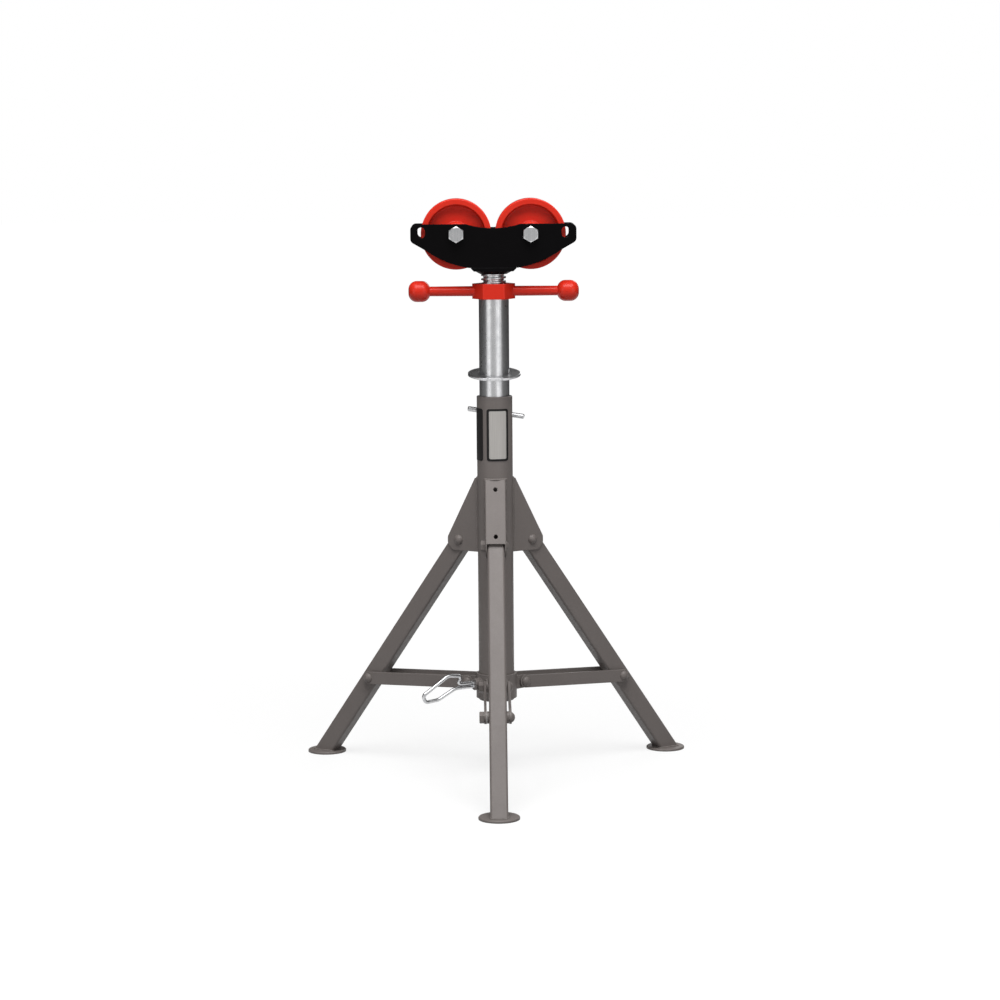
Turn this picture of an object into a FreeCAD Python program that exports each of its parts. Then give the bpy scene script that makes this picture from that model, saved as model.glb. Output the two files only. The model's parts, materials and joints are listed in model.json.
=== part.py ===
import FreeCAD, Part
import math
import os
from FreeCAD import Vector

# Folding pipe jack stand: a round mast on three hinged legs, a telescopic tube,
# a lifting screw turned by a handled nut, and a head with two pipe rollers.
# Origin: on the floor, on the mast axis.  +Z up, the front leg points to -Y.
# Millimetres and degrees.

# Mast and telescopic tube
mast_diameter = 60.3
mast_wall = 3.9
mast_bottom = 126.0
mast_length = 521.0
mast_edge = 0.8
tube_slip = 0.85
tube_wall = 3.2
tube_top_over_mast = 164.0
tube_bottom_over_mast_bottom = 44.0

# Legs: rectangular tubes
front_leg_azimuth = -90.0
left_leg_azimuth = 150.0
right_leg_azimuth = 30.0
leg_width = 29.0
leg_depth = 31.0
leg_wall = 3.0
leg_corner = 4.0
leg_pivot_radius = 63.0
leg_pivot_height = 399.0
foot_circle_radius = 347.0
foot_diameter = 67.0
foot_thickness = 4.0
foot_rim_chamfer = 1.2
leg_sleeve_wall = 3.0

# Leg brackets: folded gussets welded to the mast
bracket_wall = 2.4
bracket_side_play = 0.5
bracket_rise = 108.0
bracket_web_foot_rise = 6.5
bracket_reach = 21.0
bracket_nose_drop = 6.0
bracket_foot_drop = 18.0
bracket_corner = 9.0
bracket_edge = 2.0
bracket_top_lip = 0.5
web_hole_diameter = 7.0
web_top_hole_margin = 15.5
web_foot_hole_margin = 11.5

# Painted pivot bolts
bolt_diameter = 10.0
bolt_head_diameter = 17.0
bolt_head_height = 5.5
nut_flats = 17.0
nut_height = 8.0
hex_crown_share = 0.97
hex_crown_slope = 30.0
pivot_clearance = 0.08
bolt_hole_clearance = 0.1
face_gap = 0.3

# Sliding collar and its hinge lugs
collar_slip = 0.45
collar_wall = 4.0
collar_height = 42.0
collar_bottom_over_mast_bottom = 4.0
collar_hinge_radius = 46.0
collar_hinge_height = 155.0
lug_thickness = 3.0
lug_radius = 10.5
lug_corner = 10.0
lug_root_spread = 3.0

# Braces: pairs of flat bars between collar and legs
brace_height = 21.5
brace_thickness = 4.0
brace_share_of_leg = 0.645
brace_spacer_diameter = 20.0

# Locking pin with its wire loop
lock_azimuth = 210.0
lock_height = 155.8
lock_pin_diameter = 12.0
lock_fit = 0.08
lock_boss_wall = 4.0
lock_boss_reach = 10.0
lock_pin_proud = 4.0
loop_wire = 6.2
loop_strand_gap = 0.4
# Turning points of the loop: out from the pin's end, up from its axis, bend radius
loop_bends = ((30.0, 3.3, 3.6), (17.5, 16.5, 4.7), (46.0, 20.0, 18.0), (96.0, -10.0, 6.5),
              (90.5, -21.5, 6.5), (66.0, -19.5, 25.0), (33.0, -3.3, 30.0))

# Clamping screw behind the mast
clamp_drop = 35.0
clamp_diameter = 12.0
clamp_fit = 0.08
clamp_boss_diameter = 26.0
clamp_boss_reach = 15.0
clamp_neck = 14.0
clamp_head_diameter = 20.0
clamp_head_length = 20.0
clamp_bar_diameter = 9.0
clamp_bar_length = 98.0
clamp_bar_offset = 3.0
clamp_bar_tilt = 8.5
clamp_bar_chamfer = 1.5

# Stop ring that jams on the telescopic tube
ring_diameter = 89.0
ring_thickness = 4.5
ring_tilt = 8.5
ring_slip = 0.45
ring_over_mast = 37.0
ring_edge = 0.8
ring_notch_width = 3.0
ring_notch_depth = 6.0
ring_tongue_width = 22.0

# Lifting screw and handled nut
screw_diameter = 42.0
screw_length_below_nut = 125.0
screw_exposed = 16.0
screw_chamfer = 2.0
nut_bore_clearance = 0.3
hub_flats = 63.4
hub_height = 25.5
hub_edge = 3.0
arm_diameter = 16.2
arm_root_diameter = 17.2
knob_centre = 125.0
knob_diameter = 35.5
knob_length = 36.5
knob_round = 14.0

# Head
neck_height = 5.5
neck_wall = 1.5
base_half_length = 38.0
base_thickness = 6.0
base_chamfer = 5.0
head_plate_thickness = 6.0
head_plate_edge = 0.8
ear_half_span = 138.6
ear_top_over_axle = 17.0
saddle_half_width = 46.0
saddle_dip = 7.0
ear_bottom_under_axle = 12.0
ear_knee_inset = 24.6
ear_knee_drop = 14.0
ear_round = 9.0
plate_foot_half_length = 41.0
plate_belly_share = 0.34
slot_width = 13.5
slot_height = 18.0
slot_inset = 18.0
slot_over_axle = 3.0

# Rollers on their axle bolts
roller_diameter = 118.0
roller_width = 46.0
roller_gap = 6.6
roller_base_clearance = 2.2
roller_rim = 10.0
roller_rim_round = 2.0
roller_lip_round = 1.2
roller_web_round = 4.0
roller_web = 18.0
roller_hub_diameter = 38.0
roller_hub_width = 50.0
bush_wall = 2.5
axle_diameter = 16.0
axle_flats = 24.0
axle_head_height = 10.0
axle_nut_height = 13.0
axle_tail = 4.0
washer_diameter = 30.0
washer_thickness = 1.7
washer_play = 0.15

# Bare label plates on the mast
label_thickness = 0.6
label_top_share_of_free_mast = 0.143
label_share_of_free_mast = 0.63
label_corner = 4.0
front_label_azimuth = -80.0
front_label_width = 36.6
side_label_azimuth = -158.0
side_label_width = 27.0

# How far a cutting shape runs past the faces it cuts, and how exactly edges are matched
cut_over = 1.0
match_tolerance = 0.01
shortest_edge = 1e-6

# Worked-out sizes
leg_azimuths = {"front": front_leg_azimuth, "left": left_leg_azimuth, "right": right_leg_azimuth}
head_sides = {"front": 1, "left": 1, "right": -1}
mast_radius = mast_diameter / 2
mast_bore_radius = mast_radius - mast_wall
mast_top = mast_bottom + mast_length
tube_radius = mast_bore_radius - tube_slip
tube_bore_radius = tube_radius - tube_wall
tube_top = mast_top + tube_top_over_mast
tube_bottom = mast_bottom + tube_bottom_over_mast_bottom

leg_half_width = leg_width / 2
leg_half_depth = leg_depth / 2
leg_drop = leg_pivot_height - foot_thickness
leg_spread = foot_circle_radius - leg_pivot_radius
leg_lean = math.degrees(math.atan2(leg_spread, leg_drop))
leg_run = math.hypot(leg_spread, leg_drop)
bolt_radius = bolt_diameter / 2
pivot_bore_radius = bolt_radius + pivot_clearance
bolt_hole_radius = bolt_radius + bolt_hole_clearance
leg_sleeve_radius = pivot_bore_radius + leg_sleeve_wall
bracket_inner = leg_half_width + bracket_side_play
bracket_outer = bracket_inner + bracket_wall
bracket_top = leg_pivot_height + bracket_rise
free_mast = mast_top - bracket_top
label_top = mast_top - free_mast * label_top_share_of_free_mast
label_height = free_mast * label_share_of_free_mast

collar_bore_radius = mast_radius + collar_slip
collar_radius = collar_bore_radius + collar_wall
collar_bottom = mast_bottom + collar_bottom_over_mast_bottom
lug_inner = bracket_inner
lug_outer = lug_inner + lug_thickness
brace_inner = lug_outer + face_gap
brace_outer = brace_inner + brace_thickness
brace_pin_radius = leg_pivot_radius + leg_spread * brace_share_of_leg
brace_pin_height = leg_pivot_height - leg_drop * brace_share_of_leg
brace_run = brace_pin_radius - collar_hinge_radius
brace_rise = brace_pin_height - collar_hinge_height
brace_length = math.hypot(brace_run, brace_rise)
brace_pitch = math.degrees(math.atan2(brace_rise, brace_run))

screw_radius = screw_diameter / 2
nut_top = tube_top + hub_height
neck_bottom = nut_top + screw_exposed
base_bottom = neck_bottom + neck_height
base_top = base_bottom + base_thickness
roller_radius = roller_diameter / 2
axle_x = (roller_diameter + roller_gap) / 2
roller_drop = math.sqrt(roller_radius**2 - max(axle_x - base_half_length, 0)**2)
axle_z = base_top + roller_base_clearance + roller_drop
plate_inner = roller_hub_width / 2 + washer_thickness + 2 * washer_play
plate_outer = plate_inner + head_plate_thickness
axle_radius = axle_diameter / 2

along_x = Vector(1, 0, 0)
along_y = Vector(0, 1, 0)
along_z = Vector(0, 0, 1)
origin = Vector(0, 0, 0)


def save(name, *solids):
    """Write one node, a single solid or a group of separate solids."""
    shape = solids[0] if len(solids) == 1 else Part.makeCompound(list(solids))
    shape.exportStep("parts/" + name + ".step")


def turned(shape, azimuth):
    """Copy of a shape made in the radial X-Z plane, swung round the mast."""
    copy = shape.copy()
    copy.rotate(origin, along_z, azimuth)
    return copy


def tilted(shape, centre, angle):
    """Copy of a shape turned about the Y axis through a point."""
    copy = shape.copy()
    copy.rotate(centre, along_y, angle)
    return copy


def cylinder(radius, length, base, axis=along_z):
    return Part.makeCylinder(radius, length, base, axis)


def tube(outer_radius, inner_radius, length, base, axis=along_z):
    bore = cylinder(inner_radius, length, base, axis)
    return cylinder(outer_radius, length, base, axis).cut(bore)


def across(radius, half_length, x, z):
    """Cylinder along Y, centred on the X-Z plane."""
    return cylinder(radius, 2 * half_length, Vector(x, -half_length, z), along_y)


def block(low, high):
    size = [far - near for near, far in zip(low, high)]
    return Part.makeBox(size[0], size[1], size[2], Vector(*low))


def rounded_edges(corners, closed=True):
    """Straight edges joined by tangent arcs.  A corner is (point, radius)."""
    count = len(corners)
    starts = []
    ends = []
    arcs = []
    for index in range(count):
        point, radius = corners[index]
        at_end = not closed and index in (0, count - 1)
        if radius == 0 or at_end:
            starts.append(point)
            ends.append(point)
            arcs.append(None)
            continue
        back = (corners[index - 1][0] - point).normalize()
        ahead = (corners[(index + 1) % count][0] - point).normalize()
        half_angle = back.getAngle(ahead) / 2
        setback = radius / math.tan(half_angle)
        bisector = (back + ahead).normalize()
        middle = point + bisector * (radius / math.sin(half_angle) - radius)
        starts.append(point + back * setback)
        ends.append(point + ahead * setback)
        arcs.append(Part.Arc(starts[-1], middle, ends[-1]).toShape())
    edges = []
    for index in range(count):
        if arcs[index]:
            edges.append(arcs[index])
        following = (index + 1) % count
        if closed or following:
            if (starts[following] - ends[index]).Length > shortest_edge:
                edges.append(Part.LineSegment(ends[index], starts[following]).toShape())
    return edges


def side_plate(corners, y_from, y_to):
    """Plate with an outline in the X-Z plane.  A corner is (x, z, radius)."""
    points = [(Vector(x, y_from, z), radius) for x, z, radius in corners]
    wire = Part.Wire(rounded_edges(points))
    return Part.Face(wire).extrude(Vector(0, y_to - y_from, 0))


def hexagon(flats, height, base, axis, corner_direction):
    """Hexagonal prism with one corner pointing along a direction."""
    corner = Vector(corner_direction) * (flats / math.sqrt(3))
    turn = FreeCAD.Rotation(axis, 60)
    points = [base + corner]
    for _ in range(6):
        corner = turn.multVec(corner)
        points.append(base + corner)
    return Part.Face(Part.makePolygon(points)).extrude(axis * height)


def hex_head(flats, height, base, axis, corner_direction):
    """Hexagonal bolt head or nut, its outer corners turned off to a cone."""
    prism = hexagon(flats, height, base, axis, corner_direction)
    crown = hex_crown_share * flats / 2
    skirt = crown + height / math.tan(math.radians(hex_crown_slope))
    return prism.common(Part.makeCone(skirt, crown, height, base, axis))


def dome_head(x, z, y_face, side):
    """Low domed bolt head standing on a face that looks along side * Y."""
    half = bolt_head_diameter / 2
    ball_radius = (half**2 + bolt_head_height**2) / (2 * bolt_head_height)
    centre_y = bolt_head_height - ball_radius
    rim = Vector(half, 0, 0)
    crown = Vector(0, bolt_head_height, 0)
    midway = Vector(half / 2, centre_y + math.sqrt(ball_radius**2 - half**2 / 4), 0)
    outline = [Part.makeLine(origin, rim), Part.Arc(rim, midway, crown).toShape(),
               Part.makeLine(crown, origin)]
    dome = Part.Face(Part.Wire(outline)).revolve(origin, along_y, 360)
    if side < 0:
        dome.rotate(origin, along_x, 180)
    dome.translate(Vector(x, y_face, z))
    return dome


def hex_nut(x, z, y_face, side, bore_radius):
    nut = hex_head(nut_flats, nut_height, Vector(x, y_face, z), along_y * side, along_z)
    hole = cylinder(bore_radius, nut_height, Vector(x, y_face, z), along_y * side)
    return nut.cut(hole)


def pivot_bolt(x, z, half_grip, side):
    """Domed bolt across a hinge, long enough to fill its nut."""
    shank_from = Vector(x, half_grip * side, z)
    shank = cylinder(bolt_radius, 2 * half_grip + nut_height, shank_from, along_y * -side)
    return shank.fuse(dome_head(x, z, side * half_grip, side)).removeSplitter()


def make_mast():
    mast = tube(mast_radius, mast_bore_radius, mast_length, Vector(0, 0, mast_bottom))
    rims = [edge for edge in mast.Edges
            if edge.Closed and edge.BoundBox.XLength > mast_diameter - mast_wall]
    mast = mast.makeChamfer(mast_edge, rims)
    lock_hole = cylinder(lock_pin_diameter / 2 + lock_fit, mast_radius + cut_over,
                         Vector(0, 0, lock_height), along_x)
    clamp_hole = cylinder(clamp_diameter / 2 + clamp_fit, mast_radius + cut_over,
                          Vector(0, 0, mast_top - clamp_drop), along_y)
    mast = mast.cut(turned(lock_hole, lock_azimuth)).cut(clamp_hole)
    save("mast_tube", mast)


def make_bracket():
    """Gusset in the radial plane: two cheeks joined by a sloping web."""
    top = bracket_top
    web_foot = (leg_pivot_radius + bracket_reach, leg_pivot_height + bracket_web_foot_rise)
    web_head = (mast_radius + bracket_top_lip, top)
    nose = leg_pivot_height - bracket_nose_drop
    foot = leg_pivot_height - bracket_foot_drop
    outline = [(0, top, 0), (web_head[0], top, 0), (web_foot[0], web_foot[1], 0),
               (web_foot[0], nose, bracket_corner),
               (web_foot[0] - bracket_corner, foot, bracket_corner), (0, foot, 0)]
    gusset = side_plate(outline, -bracket_outer, bracket_outer)
    folds = []
    for edge in gusset.Edges:
        ends = [vertex.Point for vertex in edge.Vertexes]
        on_web = [min(abs(p.z - top), abs(p.z - web_foot[1])) < match_tolerance for p in ends]
        slopes = abs(ends[0].z - ends[-1].z) > bracket_wall and ends[0].x > bracket_wall
        if all(on_web) and slopes:
            folds.append(edge)
    gusset = gusset.makeFillet(bracket_edge, folds)
    run = web_foot[0] - web_head[0]
    fall = web_head[1] - web_foot[1]
    inset = bracket_wall * math.hypot(run, fall) / fall
    far = 2 * web_foot[0]
    hollow = [(0, top + fall, 0), (web_head[0] - run - inset, top + fall, 0),
              (web_foot[0] - inset, web_foot[1], 0), (far, web_foot[1], 0),
              (far, foot - cut_over, 0), (0, foot - cut_over, 0)]
    gusset = gusset.cut(side_plate(hollow, -bracket_inner, bracket_inner))
    gusset = gusset.cut(cylinder(mast_radius, 2 * fall + bracket_rise, Vector(0, 0, foot - cut_over)))
    gusset = gusset.cut(across(bolt_hole_radius, bracket_outer + cut_over,
                               leg_pivot_radius, leg_pivot_height))
    for hole_z in (top - web_top_hole_margin, web_foot[1] + web_foot_hole_margin):
        hole = cylinder(web_hole_diameter / 2, far, Vector(mast_radius / 2, 0, hole_z), along_x)
        gusset = gusset.cut(hole)
    return gusset


def make_leg():
    """Leg tube in the radial plane, leaning out from its pivot to the floor."""
    outer = leg_half_depth
    side = leg_half_width
    length = leg_run + leg_depth

    def prism(inset):
        corners = [(Vector(x * (outer - inset), y * (side - inset), -length), leg_corner - inset)
                   for x, y in ((-1, -1), (1, -1), (1, 1), (-1, 1))]
        return Part.Face(Part.Wire(rounded_edges(corners))).extrude(Vector(0, 0, 2 * length))

    leg = prism(0).cut(prism(leg_wall))
    reach = block((-outer, -side, -length), (outer, side, 0)).fuse(across(outer, side, 0, 0))
    leg = leg.common(reach)
    leg = leg.cut(across(leg_sleeve_radius, side + cut_over, 0, 0))
    pin_drop = leg_run * brace_share_of_leg
    leg = leg.cut(across(bolt_radius, side + cut_over, 0, -pin_drop))
    leg.rotate(origin, along_y, -leg_lean)
    leg.translate(Vector(leg_pivot_radius, 0, leg_pivot_height))
    below_foot = 2 * foot_circle_radius
    return leg.cut(block((0, -side, -below_foot), (below_foot, side, foot_thickness)))


def make_foot():
    foot = cylinder(foot_diameter / 2, foot_thickness, Vector(foot_circle_radius, 0, 0))
    rim = [edge for edge in foot.Edges if edge.Closed and edge.CenterOfMass.z > foot_thickness / 2]
    return foot.makeChamfer(foot_rim_chamfer, rim)


def make_leg_sleeve():
    half = bracket_inner - face_gap
    sleeve = across(leg_sleeve_radius, half, leg_pivot_radius, leg_pivot_height)
    return sleeve.cut(across(pivot_bore_radius, half, leg_pivot_radius, leg_pivot_height))


def make_brace_pin():
    """Pin through the leg with a spacer on each side, just short of the bars."""
    pin = across(bolt_radius, leg_half_width, brace_pin_radius, brace_pin_height)
    length = brace_inner - face_gap - leg_half_width
    for side in (1, -1):
        base = Vector(brace_pin_radius, side * leg_half_width, brace_pin_height)
        pin = pin.fuse(cylinder(brace_spacer_diameter / 2, length, base, along_y * side))
    return pin.removeSplitter()


def make_brace_bar(side):
    """Flat bar with round ends, on one side of the leg."""
    half = brace_height / 2
    near = min(side * brace_inner, side * brace_outer)
    hinge_x = collar_hinge_radius
    hinge_z = collar_hinge_height
    bar = block((hinge_x, near, hinge_z - half),
                (hinge_x + brace_length, near + brace_thickness, hinge_z + half))
    for end_x in (hinge_x, hinge_x + brace_length):
        bar = bar.fuse(cylinder(half, brace_thickness, Vector(end_x, near, hinge_z), along_y))
    bar = bar.removeSplitter()
    bar = bar.cut(across(pivot_bore_radius, brace_outer + cut_over, hinge_x, hinge_z))
    bar = bar.cut(across(bolt_radius, brace_outer + cut_over, hinge_x + brace_length, hinge_z))
    return tilted(bar, Vector(hinge_x, 0, hinge_z), -brace_pitch)


def make_brace_ends(head_side):
    """Bolt head and nut on the outside of a pair of bars, each filling its hole."""
    ends = []
    for side in (1, -1):
        stub_from = Vector(brace_pin_radius, side * brace_inner, brace_pin_height)
        stub = cylinder(bolt_radius, brace_thickness, stub_from, along_y * side)
        if side == head_side:
            cap = dome_head(brace_pin_radius, brace_pin_height, side * brace_outer, side)
        else:
            cap = hex_head(nut_flats, nut_height, stub_from + along_y * (side * brace_thickness),
                           along_y * side, along_z)
        ends.append(stub.fuse(cap).removeSplitter())
    return ends


def make_collar():
    collar = tube(collar_radius, collar_bore_radius, collar_height, Vector(0, 0, collar_bottom))
    lock_hole = cylinder(lock_pin_diameter / 2 + lock_fit, collar_radius + cut_over,
                         Vector(0, 0, lock_height), along_x)
    return collar.cut(turned(lock_hole, lock_azimuth))


def make_lugs():
    tip = collar_hinge_radius + lug_radius
    low = collar_hinge_height - lug_radius
    high = collar_hinge_height + lug_radius
    outline = [(0, low - lug_root_spread, 0), (tip, low, lug_corner),
               (tip, high, lug_corner), (0, high + lug_root_spread, 0)]
    lugs = []
    for side in (1, -1):
        near = min(side * lug_inner, side * lug_outer)
        lug = side_plate(outline, near, near + lug_thickness)
        room = cylinder(collar_radius, 4 * collar_height, Vector(0, 0, collar_bottom - collar_height))
        lug = lug.cut(room)
        lugs.append(lug.cut(across(bolt_hole_radius, lug_outer + cut_over,
                                   collar_hinge_radius, collar_hinge_height)))
    return lugs


def make_leg_group(name, azimuth, head_side):
    save(name + "_leg_bracket", turned(make_bracket(), azimuth))
    save(name + "_leg_tube", turned(make_leg(), azimuth))
    save(name + "_foot", turned(make_foot(), azimuth))
    save(name + "_leg_sleeve", turned(make_leg_sleeve(), azimuth))
    save(name + "_brace_pin", turned(make_brace_pin(), azimuth))
    save(name + "_brace_bar_a", turned(make_brace_bar(1), azimuth))
    save(name + "_brace_bar_b", turned(make_brace_bar(-1), azimuth))
    save(name + "_brace_bolt_ends", *[turned(end, azimuth) for end in make_brace_ends(head_side)])
    save(name + "_collar_lugs", *[turned(lug, azimuth) for lug in make_lugs()])


def make_hinge_bolts():
    leg_bolts = []
    leg_nuts = []
    collar_bolts = []
    collar_nuts = []
    collar_grip = brace_outer + face_gap
    for name, azimuth in leg_azimuths.items():
        side = head_sides[name]
        bolt = pivot_bolt(leg_pivot_radius, leg_pivot_height, bracket_outer, side)
        nut = hex_nut(leg_pivot_radius, leg_pivot_height, -side * bracket_outer, -side, bolt_radius)
        leg_bolts.append(turned(bolt, azimuth))
        leg_nuts.append(turned(nut, azimuth))
        bolt = pivot_bolt(collar_hinge_radius, collar_hinge_height, collar_grip, side)
        nut = hex_nut(collar_hinge_radius, collar_hinge_height, -side * collar_grip, -side, bolt_radius)
        collar_bolts.append(turned(bolt, azimuth))
        collar_nuts.append(turned(nut, azimuth))
    save("leg_pivot_bolts", *leg_bolts)
    save("leg_pivot_nuts", *leg_nuts)
    save("collar_hinge_bolts", *collar_bolts)
    save("collar_hinge_nuts", *collar_nuts)


def make_lock():
    """Guide boss, pin and wire loop along X, swung round to their place."""
    pin_radius = lock_pin_diameter / 2
    boss_end = collar_radius + lock_boss_reach
    boss = tube(pin_radius + lock_fit + lock_boss_wall, pin_radius + lock_fit, boss_end,
                Vector(0, 0, lock_height), along_x)
    room = cylinder(collar_radius, 2 * collar_height, Vector(0, 0, collar_bottom - collar_height / 2))
    boss = boss.cut(room)
    save("lock_pin_boss", turned(boss, lock_azimuth))
    pin_end = boss_end + lock_pin_proud
    pin_tip = mast_radius + face_gap
    pin = cylinder(pin_radius, pin_end - pin_tip, Vector(pin_tip, 0, lock_height), along_x)
    save("lock_pin", turned(pin, lock_azimuth))
    strand = (loop_wire + loop_strand_gap) / 2
    route = [(0, strand, 0), *loop_bends, (0, -strand, 0)]
    corners = [(Vector(pin_end + x, 0, lock_height + z), radius) for x, z, radius in route]
    spine = Part.Wire(rounded_edges(corners, closed=False))
    ring = Part.Wire(Part.makeCircle(loop_wire / 2, corners[0][0], along_x))
    loop = spine.makePipeShell([ring], True, False)
    save("lock_pin_loop", turned(loop, lock_azimuth))


def make_clamp():
    height = mast_top - clamp_drop
    radius = clamp_diameter / 2
    boss_end = mast_radius + clamp_boss_reach
    boss = tube(clamp_boss_diameter / 2, radius + clamp_fit, boss_end, Vector(0, 0, height), along_y)
    boss = boss.cut(cylinder(mast_radius, mast_length, Vector(0, 0, mast_bottom)))
    save("clamp_boss", boss)
    tip = tube_radius + face_gap
    neck_end = boss_end + clamp_neck
    save("clamp_screw", cylinder(radius, neck_end - tip, Vector(0, tip, height), along_y))
    bar_y = neck_end + clamp_head_length / 2
    head = cylinder(clamp_head_diameter / 2, clamp_head_length, Vector(0, neck_end, height), along_y)
    bar_radius = clamp_bar_diameter / 2
    bar_from = Vector(clamp_bar_offset - clamp_bar_length / 2, bar_y, height)
    bar = cylinder(bar_radius, clamp_bar_length, bar_from, along_x)
    hole_from = Vector(-clamp_head_diameter, bar_y, height)
    hole = cylinder(bar_radius + clamp_fit, 2 * clamp_head_diameter, hole_from, along_x)
    head = head.cut(hole)
    rims = [edge for edge in bar.Edges if edge.Closed]
    bar = bar.makeChamfer(clamp_bar_chamfer, rims)
    centre = Vector(0, bar_y, height)
    save("clamp_head", tilted(head, centre, clamp_bar_tilt))
    save("clamp_bar", tilted(bar, centre, clamp_bar_tilt))


def make_labels():
    plates = (("front_label_plate", front_label_azimuth, front_label_width),
              ("side_label_plate", side_label_azimuth, side_label_width))
    top = label_top
    low = label_top - label_height
    for name, azimuth, width in plates:
        half = width / 2
        corners = [(Vector(0, y, z), label_corner)
                   for y, z in ((-half, low), (half, low), (half, top), (-half, top))]
        outline = Part.Face(Part.Wire(rounded_edges(corners))).extrude(Vector(2 * mast_radius, 0, 0))
        skin = tube(mast_radius + label_thickness, mast_radius, label_height, Vector(0, 0, low))
        save(name, turned(skin.common(outline), azimuth))


def make_telescope():
    tube_length = tube_top - tube_bottom
    save("inner_tube", tube(tube_radius, tube_bore_radius, tube_length, Vector(0, 0, tube_bottom)))
    lean = math.radians(ring_tilt)
    hole_radius = (tube_radius + ring_slip + ring_thickness / 2 * math.sin(lean)) / math.cos(lean)
    centre = Vector(0, 0, mast_top + ring_over_mast)
    base = centre - along_z * (ring_thickness / 2)
    ring = tube(ring_diameter / 2, hole_radius, ring_thickness, base)
    rims = [edge for edge in ring.Edges
            if edge.Closed and edge.BoundBox.XLength > ring_diameter - ring_thickness]
    ring = ring.makeFillet(ring_edge, rims)
    for side in (1, -1):
        notch_x = side * (ring_tongue_width + ring_notch_width) / 2
        notch = block((notch_x - ring_notch_width / 2, -ring_diameter, base.z),
                      (notch_x + ring_notch_width / 2, ring_notch_depth - ring_diameter / 2,
                       base.z + ring_thickness))
        ring = ring.cut(notch)
    ring.rotate(centre, along_x, ring_tilt)
    save("stop_ring", ring)


def make_handle_nut():
    """One casting: hexagon hub, two arms and their knobs."""
    hub = hexagon(hub_flats, hub_height, Vector(0, 0, tube_top), along_z, along_x)
    upright = [edge for edge in hub.Edges if edge.BoundBox.ZLength > hub_height / 2]
    hub = hub.makeFillet(hub_edge, upright)
    middle = tube_top + hub_height / 2
    for side in (1, -1):
        out = along_x * side
        start = Vector(side * screw_radius, 0, middle)
        arm = Part.makeCone(arm_root_diameter / 2, arm_diameter / 2, knob_centre - screw_radius,
                            start, out)
        knob_from = Vector(side * (knob_centre - knob_length / 2), 0, middle)
        knob = cylinder(knob_diameter / 2, knob_length, knob_from, out)
        knob = knob.makeFillet(knob_round, [edge for edge in knob.Edges if edge.Closed])
        hub = hub.fuse(arm).fuse(knob)
    bore = cylinder(screw_radius + nut_bore_clearance, hub_height, Vector(0, 0, tube_top))
    save("handle_nut", hub.removeSplitter().cut(bore))


def make_screw_and_neck():
    screw_bottom = tube_top - screw_length_below_nut
    screw = cylinder(screw_radius, base_bottom - screw_bottom, Vector(0, 0, screw_bottom))
    lower = [edge for edge in screw.Edges if edge.Closed and edge.CenterOfMass.z < tube_top]
    save("lift_screw", screw.makeChamfer(screw_chamfer, lower))
    neck = Part.makeCone(screw_radius + neck_wall, plate_outer, neck_height, Vector(0, 0, neck_bottom))
    save("head_neck", neck.cut(cylinder(screw_radius, neck_height, Vector(0, 0, neck_bottom))))
    base = block((-base_half_length, -plate_outer, base_bottom),
                 (base_half_length, plate_outer, base_top))
    under_ends = [edge for edge in base.Edges
                  if edge.BoundBox.YLength > plate_outer
                  and edge.CenterOfMass.z < base_bottom + match_tolerance]
    save("head_base_plate", base.makeChamfer(base_chamfer, under_ends))


def make_head_plate(y_from):
    """Saddle plate with slotted ears and a dipped top edge."""
    top = axle_z + ear_top_over_axle
    dip = top - saddle_dip
    ear = ear_half_span
    ear_low = axle_z - ear_bottom_under_axle
    knee_x = ear - ear_knee_inset
    knee_z = ear_low - ear_knee_drop
    foot_x = plate_foot_half_length
    sag_x = (knee_x + foot_x) / 2
    sag_z = base_top + (knee_z - base_top) * plate_belly_share
    bulge = ear_round * (1 - math.sqrt(0.5))

    def at(x, z):
        return Vector(x, y_from, z)

    def line(first, second):
        return Part.LineSegment(first, second).toShape()

    def arc(first, middle, last):
        return Part.Arc(first, middle, last).toShape()

    edges = []
    for side in (1, -1):
        edges.append(line(at(side * saddle_half_width, top), at(side * (ear - ear_round), top)))
        edges.append(arc(at(side * (ear - ear_round), top), at(side * (ear - bulge), top - bulge),
                         at(side * ear, top - ear_round)))
        edges.append(line(at(side * ear, top - ear_round), at(side * ear, ear_low)))
        edges.append(line(at(side * ear, ear_low), at(side * knee_x, knee_z)))
        edges.append(arc(at(side * knee_x, knee_z), at(side * sag_x, sag_z), at(side * foot_x, base_top)))
    edges.append(line(at(-foot_x, base_top), at(foot_x, base_top)))
    edges.append(arc(at(-saddle_half_width, top), at(0, dip), at(saddle_half_width, top)))
    outline = Part.Wire(Part.__sortEdges__(edges))
    plate = Part.Face(outline).extrude(along_y * head_plate_thickness)
    corners = [edge for edge in plate.Edges
               if edge.BoundBox.YLength > head_plate_thickness / 2
               and abs(edge.CenterOfMass.z - ear_low) < match_tolerance]
    plate = plate.makeFillet(ear_round, corners)
    slot_radius = slot_width / 2
    slot_straight = (slot_height - slot_width) / 2
    slot_z = axle_z + slot_over_axle
    depth = 3 * head_plate_thickness
    below = along_y * head_plate_thickness
    for side in (1, -1):
        slot_x = side * (ear - slot_inset)
        slot = block((slot_x - slot_radius, y_from - head_plate_thickness, slot_z - slot_straight),
                     (slot_x + slot_radius, y_from + 2 * head_plate_thickness, slot_z + slot_straight))
        plate = plate.cut(slot)
        for end_z in (slot_z - slot_straight, slot_z + slot_straight):
            plate = plate.cut(cylinder(slot_radius, depth, at(slot_x, end_z) - below, along_y))
        hole_at = at(side * axle_x, axle_z) - below
        plate = plate.cut(cylinder(axle_radius + bolt_hole_clearance, depth, hole_at, along_y))
    plate_foot = base_top + head_plate_edge
    rims = [edge for edge in plate.Edges
            if edge.BoundBox.YLength < head_plate_edge and edge.CenterOfMass.z > plate_foot]
    return plate.makeFillet(head_plate_edge, rims)


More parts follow.
